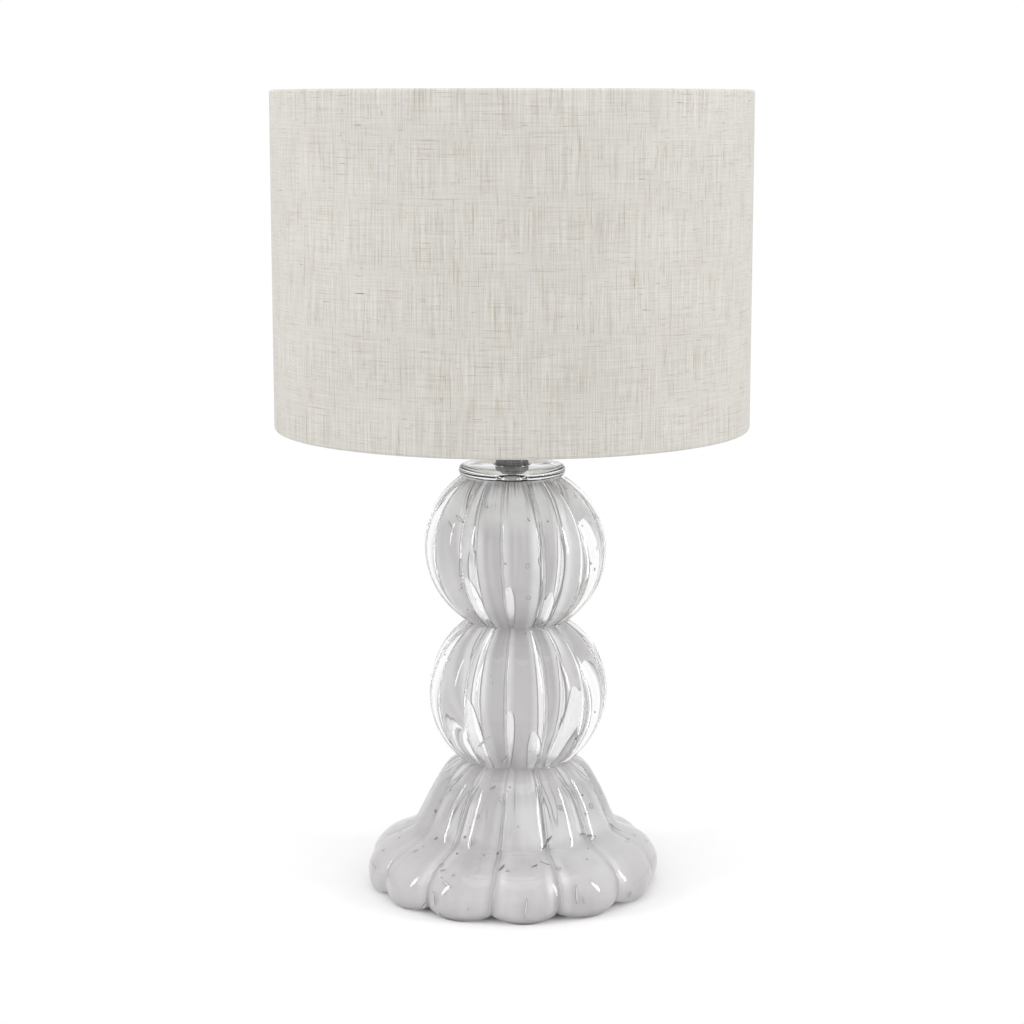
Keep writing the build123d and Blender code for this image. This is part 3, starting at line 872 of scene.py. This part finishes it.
dressed = (
    (metal("dark_metal", (0.18, 0.18, 0.185, 1.0), 0.3), ("neck_spacer", "holder_dome")),
    (metal("rod_steel", (0.62, 0.6, 0.56, 1.0), 0.35), ("threaded_rod",)),
    (dull("gasket_rubber", (0.02, 0.02, 0.02, 1.0), 0.7), ("foot_gasket",)),
    (metal("clamp_steel", (0.6, 0.6, 0.6, 1.0), 0.3),
     ("clamp_plate", "foot_washer", "foot_nut", "holder_grub_screw", "holder_lock_nut")),
    (dull("bush_plastic", (0.75, 0.75, 0.73, 1.0), 0.45), ("cord_bush",)),
    (dull("contact_ceramic", (0.82, 0.8, 0.76, 1.0), 0.6), ("contact_block",)),
    (metal("contact_brass", (0.75, 0.55, 0.25, 1.0), 0.3),
     ("centre_contact", "side_contact", "terminal_screws")),
    (metal("socket_nickel", (0.7, 0.68, 0.64, 1.0), 0.28), ("screw_socket",)),
    (dull("holder_plastic", (0.8, 0.8, 0.78, 1.0), 0.35), ("holder_shell", "shade_ring")),
    (dull("shade_backing", (0.82, 0.81, 0.78, 1.0), 0.6), ("shade_liner",)),
    (dull("white_wire", (0.78, 0.78, 0.76, 1.0), 0.4),
     ("shade_top_wire", "shade_bottom_wire", "shade_arms", "shade_fitter")),
    (metal("bulb_metal", (0.75, 0.75, 0.74, 1.0), 0.25), ("bulb_cap", "bulb_contact")),
    (dull("bulb_black", (0.02, 0.02, 0.025, 1.0), 0.15), ("bulb_insulator",)),
)
for finish, nodes in dressed:
    for node in nodes:
        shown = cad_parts[node]
        shown.data.materials.clear()
        shown.data.materials.append(finish)

# ---- floor -----------------------------------------------------------------------------------
floor_half = 1.0
shadow_kept = 0.09              # radius in metres within which the floor is whole
shadow_gone = 0.34              # radius past which the floor is clear

scene = bpy.context.scene
scene.view_settings.view_transform = "Standard"

floor_finish, floor_shader, floor_flow = material("pale_floor")
place = coordinates(floor_flow)
spread = floor_flow.node("ShaderNodeVectorMath", {"operation": "LENGTH"}, {0: place}, out="Value")
fade = spread.between(shadow_kept, shadow_gone)
feed(floor_flow, floor_shader, "Alpha", 1.0 - fade * fade * (3.0 - 2.0 * fade))
floor_shader.inputs["Base Color"].default_value = (0.98, 0.98, 0.98, 1.0)
floor_shader.inputs["Roughness"].default_value = 0.9
corners = [(-floor_half, -floor_half, 0), (floor_half, -floor_half, 0),
           (floor_half, floor_half, 0), (-floor_half, floor_half, 0)]
floor = new_object("floor", corners, [(0, 1, 2, 3)], floor_finish, smooth=False)

# ---- world: white where it is seen, mirrored or seen through, and softer as a light -----------
sky_strength = 0.85
world = bpy.data.worlds.new("studio")
scene.world = world
world.use_nodes = True
sky = Flow(world.node_tree)
white = sky.node("ShaderNodeLightPath", out="Is Camera Ray")
rays = white.socket.node.outputs
for kind in ("Is Glossy Ray", "Is Transmission Ray"):
    white = sky.math("MAXIMUM", white, Flow(world.node_tree, rays[kind]))
background = world.node_tree.nodes["Background"]
background.inputs["Color"].default_value = (1, 1, 1, 1)
feed(sky, background, "Strength", white * (1.0 - sky_strength) + sky_strength)


# ---- lights and camera -----------------------------------------------------------------------
def softbox(name, place, target, width, height, power):
    """An oval area light, in metres and watts, turned towards its target."""
    light = bpy.data.lights.new(name, "AREA")
    light.shape = "ELLIPSE"
    light.size, light.size_y = width, height
    light.energy = power
    made = bpy.data.objects.new(name, light)
    made.location = place
    made.rotation_euler = (Vector(target) - Vector(place)).to_track_quat("-Z", "Y").to_euler()
    scene.collection.objects.link(made)


softbox("left_box", (-1.7, -0.7, 0.9), (0, 0, 0.3), width=0.18, height=1.2, power=7.0)
softbox("right_box", (1.7, -0.6, 0.8), (0, 0, 0.3), width=0.18, height=1.2, power=7.0)
softbox("top_box", (0.0, -0.5, 1.8), (0, 0, 0.2), width=1.8, height=1.8, power=8.0)

camera_distance = 1.509
camera_drop = 10.6 * MM         # under the shade's top edge
camera_pitch = 9.58             # degrees down
camera_data = bpy.data.cameras.new("photo_camera")
camera_data.sensor_width = 36.0
camera_data.lens = 84.3
camera = bpy.data.objects.new("photo_camera", camera_data)
camera.location = (0.0, -camera_distance, shade_high.z - camera_drop)
camera.rotation_euler = (math.radians(90.0 - camera_pitch), 0.0, 0.0)
scene.collection.objects.link(camera)
scene.camera = camera
